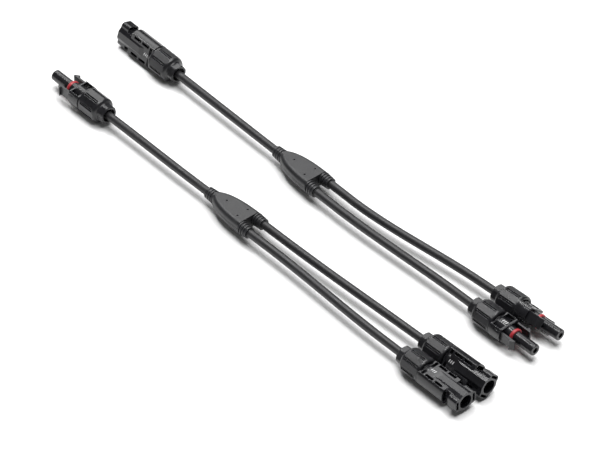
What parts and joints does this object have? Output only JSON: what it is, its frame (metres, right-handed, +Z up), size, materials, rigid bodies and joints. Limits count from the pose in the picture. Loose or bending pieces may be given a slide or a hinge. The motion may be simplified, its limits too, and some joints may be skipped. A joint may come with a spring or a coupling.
{
  "type": "solar cable connector",
  "caption": "Pair of Y-branch photovoltaic leads: a trunk cable splits in a moulded block to branch cables, each ending in a latching sealed DC connector.",
  "frame": {"origin": "centre of the first lead's moulded block, on its flat underside", "axes": "+X along the leads from the trunk connectors to the branch connectors, +Y towards the second lead, +Z up"},
  "size_m": [0.4254, 0.1059, 0.0186],
  "materials": {
    "housing_plastic": "satin moulded, fine grain",
    "nut_plastic": "satin moulded, fine grain",
    "latch_plastic": "satin moulded",
    "block_plastic": "soft satin overmould",
    "insert_plastic": "matt",
    "cable_jacket": "matt extruded",
    "gland_rubber": "matt",
    "seal_silicone": "satin red silicone",
    "tinned_copper": "bright tinned",
    "ferrule_metal": "tin plated, crimped"
  },
  "bodies": {
    "a_block": {"a_overmould": "block_plastic", "a_inner_mould": "insert_plastic", "a_splice": "ferrule_metal", "a_cable_tails": "cable_jacket"},
    "b_block": {"b_overmould": "block_plastic", "b_inner_mould": "insert_plastic", "b_splice": "ferrule_metal", "b_cable_tails": "cable_jacket"},
    "a_trunk": {"a_trunk_cable_jacket": "cable_jacket", "a_trunk_conductor": "tinned_copper", "a_trunk_housing": "housing_plastic", "a_trunk_socket_contact": "tinned_copper", "a_trunk_seal_ring": "seal_silicone"},
    "a_trunk_cage": {"a_trunk_clamp_cage": "insert_plastic", "a_trunk_gland_seal": "gland_rubber"},
    "a_trunk_nut": {"a_trunk_cap_nut": "nut_plastic"},
    "a_trunk_latch_left": {"a_trunk_latch_left": "latch_plastic"},
    "a_trunk_latch_right": {"a_trunk_latch_right": "latch_plastic"},
    "a_front": {"a_front_cable_jacket": "cable_jacket", "a_front_conductor": "tinned_copper", "a_front_housing": "housing_plastic", "a_front_pin_contact": "tinned_copper"},
    "a_front_cage": {"a_front_clamp_cage": "insert_plastic", "a_front_gland_seal": "gland_rubber"},
    "a_front_nut": {"a_front_cap_nut": "nut_plastic"},
    "a_rear": {"a_rear_cable_jacket": "cable_jacket", "a_rear_conductor": "tinned_copper", "a_rear_housing": "housing_plastic", "a_rear_pin_contact": "tinned_copper"},
    "a_rear_cage": {"a_rear_clamp_cage": "insert_plastic", "a_rear_gland_seal": "gland_rubber"},
    "a_rear_nut": {"a_rear_cap_nut": "nut_plastic"},
    "b_trunk": {"b_trunk_cable_jacket": "cable_jacket", "b_trunk_conductor": "tinned_copper", "b_trunk_housing": "housing_plastic", "b_trunk_pin_contact": "tinned_copper"},
    "b_trunk_cage": {"b_trunk_clamp_cage": "insert_plastic", "b_trunk_gland_seal": "gland_rubber"},
    "b_trunk_nut": {"b_trunk_cap_nut": "nut_plastic"},
    "b_front": {"b_front_cable_jacket": "cable_jacket", "b_front_conductor": "tinned_copper", "b_front_housing": "housing_plastic", "b_front_socket_contact": "tinned_copper", "b_front_seal_ring": "seal_silicone"},
    "b_front_cage": {"b_front_clamp_cage": "insert_plastic", "b_front_gland_seal": "gland_rubber"},
    "b_front_nut": {"b_front_cap_nut": "nut_plastic"},
    "b_front_latch_left": {"b_front_latch_left": "latch_plastic"},
    "b_front_latch_right": {"b_front_latch_right": "latch_plastic"},
    "b_rear": {"b_rear_cable_jacket": "cable_jacket", "b_rear_conductor": "tinned_copper", "b_rear_housing": "housing_plastic", "b_rear_socket_contact": "tinned_copper", "b_rear_seal_ring": "seal_silicone"},
    "b_rear_cage": {"b_rear_clamp_cage": "insert_plastic", "b_rear_gland_seal": "gland_rubber"},
    "b_rear_nut": {"b_rear_cap_nut": "nut_plastic"},
    "b_rear_latch_left": {"b_rear_latch_left": "latch_plastic"},
    "b_rear_latch_right": {"b_rear_latch_right": "latch_plastic"}
  },
  "joints": [
    {"name": "b_lead_lift", "type": "slide", "parent": "a_block", "child": "b_block", "axis": [0, 0, 1], "range_m": [0, 0.12]},
    {"name": "a_trunk_cable_bend", "type": "hinge", "parent": "a_block", "child": "a_trunk", "pos_m": [-0.04427, 0, 0.005], "axis": [0, 1, 0], "range_deg": [0, 45]},
    {"name": "a_trunk_nut_travel", "type": "slide", "parent": "a_trunk", "child": "a_trunk_cage", "axis": [1, -0.007, 0], "range_m": [0, 0.008]},
    {"name": "a_trunk_nut_unscrew", "type": "hinge", "parent": "a_trunk_cage", "child": "a_trunk_nut", "pos_m": [-0.1281, 0.0008, 0.005], "axis": [1, -0.007, 0], "range_deg": [0, 1440]},
    {"name": "a_trunk_latch_left_flex", "type": "hinge", "parent": "a_trunk", "child": "a_trunk_latch_left", "pos_m": [-0.15775, -0.00609, 0.005], "axis": [0, 0, -1], "range_deg": [0, 6], "stiffness_Nm_per_rad": 0.05},
    {"name": "a_trunk_latch_right_flex", "type": "hinge", "parent": "a_trunk", "child": "a_trunk_latch_right", "pos_m": [-0.15765, 0.00811, 0.005], "axis": [0, 0, 1], "range_deg": [0, 6], "stiffness_Nm_per_rad": 0.05},
    {"name": "a_front_cable_bend", "type": "hinge", "parent": "a_block", "child": "a_front", "pos_m": [0.04427, -0.00625, 0.005], "axis": [0, -1, 0], "range_deg": [0, 45]},
    {"name": "a_front_nut_travel", "type": "slide", "parent": "a_front", "child": "a_front_cage", "axis": [-1, -0.0035, 0], "range_m": [0, 0.008]},
    {"name": "a_front_nut_unscrew", "type": "hinge", "parent": "a_front_cage", "child": "a_front_nut", "pos_m": [0.1773, -0.0094, 0.005], "axis": [-1, -0.0035, 0], "range_deg": [0, 1440]},
    {"name": "a_rear_cable_bend", "type": "hinge", "parent": "a_block", "child": "a_rear", "pos_m": [0.04427, 0.00625, 0.005], "axis": [0, -1, 0], "range_deg": [0, 45]},
    {"name": "a_rear_nut_travel", "type": "slide", "parent": "a_rear", "child": "a_rear_cage", "axis": [-0.9996, -0.0279, 0], "range_m": [0, 0.008]},
    {"name": "a_rear_nut_unscrew", "type": "hinge", "parent": "a_rear_cage", "child": "a_rear_nut", "pos_m": [0.177, 0.0095, 0.005], "axis": [-0.9996, -0.0279, 0], "range_deg": [0, 1440]},
    {"name": "b_trunk_cable_bend", "type": "hinge", "parent": "b_block", "child": "b_trunk", "pos_m": [-0.04596, 0.06169, 0.005], "axis": [0.0244, 0.9997, 0], "range_deg": [0, 45]},
    {"name": "b_trunk_nut_travel", "type": "slide", "parent": "b_trunk", "child": "b_trunk_cage", "axis": [0.9997, -0.0262, 0], "range_m": [0, 0.008]},
    {"name": "b_trunk_nut_unscrew", "type": "hinge", "parent": "b_trunk_cage", "child": "b_trunk_nut", "pos_m": [-0.12997, 0.06384, 0.005], "axis": [0.9997, -0.0262, 0], "range_deg": [0, 1440]},
    {"name": "b_front_cable_bend", "type": "hinge", "parent": "b_block", "child": "b_front", "pos_m": [0.0424, 0.05328, 0.005], "axis": [-0.0244, -0.9997, 0], "range_deg": [0, 45]},
    {"name": "b_front_nut_travel", "type": "slide", "parent": "b_front", "child": "b_front_cage", "axis": [-1, -0.007, 0], "range_m": [0, 0.008]},
    {"name": "b_front_nut_unscrew", "type": "hinge", "parent": "b_front_cage", "child": "b_front_nut", "pos_m": [0.17364, 0.05612, 0.005], "axis": [-1, -0.007, 0], "range_deg": [0, 1440]},
    {"name": "b_front_latch_left_flex", "type": "hinge", "parent": "b_front", "child": "b_front_latch_left", "pos_m": [0.20319, 0.06343, 0.005], "axis": [0, 0, -1], "range_deg": [0, 6], "stiffness_Nm_per_rad": 0.05},
    {"name": "b_front_latch_right_flex", "type": "hinge", "parent": "b_front", "child": "b_front_latch_right", "pos_m": [0.20328, 0.04923, 0.005], "axis": [0, 0, 1], "range_deg": [0, 6], "stiffness_Nm_per_rad": 0.05},
    {"name": "b_rear_cable_bend", "type": "hinge", "parent": "b_block", "child": "b_rear", "pos_m": [0.0427, 0.06578, 0.005], "axis": [-0.0244, -0.9997, 0], "range_deg": [0, 45]},
    {"name": "b_rear_nut_travel", "type": "slide", "parent": "b_rear", "child": "b_rear_cage", "axis": [-0.9986, -0.0523, 0], "range_m": [0, 0.008]},
    {"name": "b_rear_nut_unscrew", "type": "hinge", "parent": "b_rear_cage", "child": "b_rear_nut", "pos_m": [0.17391, 0.07562, 0.005], "axis": [-0.9986, -0.0523, 0], "range_deg": [0, 1440]},
    {"name": "b_rear_latch_left_flex", "type": "hinge", "parent": "b_rear", "child": "b_rear_latch_left", "pos_m": [0.2032, 0.08244, 0.00025], "axis": [0.035, -0.6682, -0.7431], "range_deg": [0, 6], "stiffness_Nm_per_rad": 0.05},
    {"name": "b_rear_latch_right_flex", "type": "hinge", "parent": "b_rear", "child": "b_rear_latch_right", "pos_m": [0.20375, 0.0719, 0.00975], "axis": [-0.035, 0.6682, 0.7431], "range_deg": [0, 6], "stiffness_Nm_per_rad": 0.05}
  ],
  "couplings": [
    {"joint": "a_trunk_nut_unscrew", "follows": "a_trunk_nut_travel", "rad_per_m": 3141.6},
    {"joint": "a_trunk_latch_right_flex", "follows": "a_trunk_latch_left_flex", "ratio": 1},
    {"joint": "a_front_nut_unscrew", "follows": "a_front_nut_travel", "rad_per_m": 3141.6},
    {"joint": "a_rear_nut_unscrew", "follows": "a_rear_nut_travel", "rad_per_m": 3141.6},
    {"joint": "b_trunk_nut_unscrew", "follows": "b_trunk_nut_travel", "rad_per_m": 3141.6},
    {"joint": "b_front_nut_unscrew", "follows": "b_front_nut_travel", "rad_per_m": 3141.6},
    {"joint": "b_front_latch_right_flex", "follows": "b_front_latch_left_flex", "ratio": 1},
    {"joint": "b_rear_nut_unscrew", "follows": "b_rear_nut_travel", "rad_per_m": 3141.6},
    {"joint": "b_rear_latch_right_flex", "follows": "b_rear_latch_left_flex", "ratio": 1}
  ]
}
